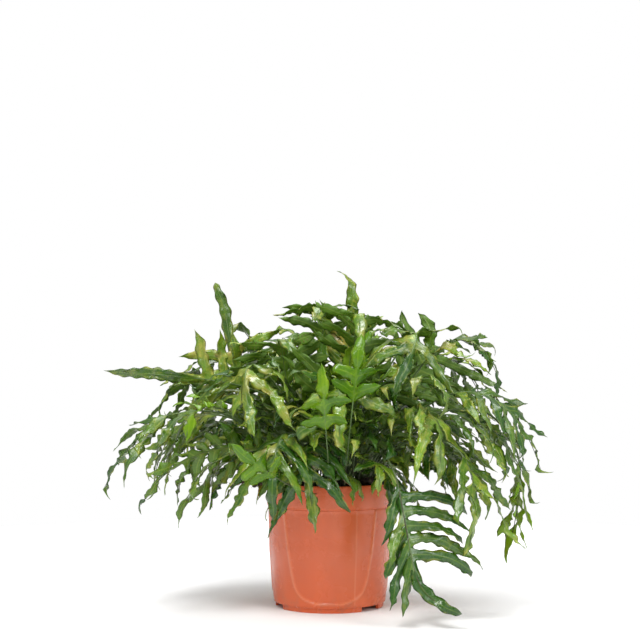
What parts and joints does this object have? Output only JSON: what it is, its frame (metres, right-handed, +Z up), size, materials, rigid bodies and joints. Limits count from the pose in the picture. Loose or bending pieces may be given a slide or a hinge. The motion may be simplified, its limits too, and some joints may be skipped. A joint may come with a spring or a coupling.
{
  "type": "kangaroo paw fern in a nursery pot",
  "caption": "Bushy potted fern whose long wavy-edged lobed fronds arch over the rim of a round tapering plastic nursery pot.",
  "frame": {"origin": "on the ground, below the middle of the whole plant's box; the pot's axis is about 30 mm or less from it", "axes": "+Z up; -Y is the front, where one large frond hangs to the ground on the right; +X to the right, along the plant's widest spread"},
  "size_m": [0.5868, 0.4734, 0.461],
  "materials": {
    "pot": "semi-gloss injection-moulded terracotta-orange polypropylene",
    "soil": "damp dark crumbly peat and fibre",
    "rhizome": "matt dark brown, covered in papery scales and wiry roots",
    "leaf": "leathery glossy deep green with yellow-green margins and flecks",
    "young_leaf": "glossy fresh yellow-green"
  },
  "bodies": {
    "root": {"frond_01": "leaf", "frond_02": "leaf", "frond_03": "leaf", "frond_04": "leaf", "frond_05": "leaf", "frond_06": "leaf", "frond_07": "leaf", "frond_08": "leaf", "frond_09": "leaf", "frond_10": "leaf", "frond_11": "leaf", "frond_12": "leaf", "frond_13": "leaf", "frond_14": "leaf", "frond_15": "leaf", "frond_18": "leaf", "frond_20": "leaf", "frond_21": "leaf", "frond_22": "leaf", "frond_23": "leaf", "frond_24": "leaf", "frond_25": "leaf", "frond_26": "leaf", "frond_27": "leaf", "frond_28": "leaf", "frond_29": "leaf", "frond_30": "leaf", "frond_31": "leaf", "frond_32": "leaf", "frond_33": "leaf", "frond_34": "leaf", "frond_35": "leaf", "frond_36": "leaf", "frond_37": "leaf", "frond_38": "leaf", "frond_39": "leaf", "frond_40": "leaf", "frond_41": "leaf", "frond_42": "leaf", "frond_43": "leaf", "frond_44": "leaf", "frond_45": "leaf", "frond_46": "leaf", "frond_47": "leaf", "frond_48": "leaf", "frond_49": "leaf", "frond_50": "leaf", "frond_51": "leaf", "frond_52": "leaf", "frond_53": "leaf", "frond_54": "leaf", "pot": "pot", "rhizome_1": "rhizome", "rhizome_2": "rhizome", "rhizome_3": "rhizome", "rhizome_4": "rhizome", "soil": "soil", "young_frond_16": "young_leaf", "young_frond_17": "young_leaf", "young_frond_19": "young_leaf"}
  },
  "joints": []
}
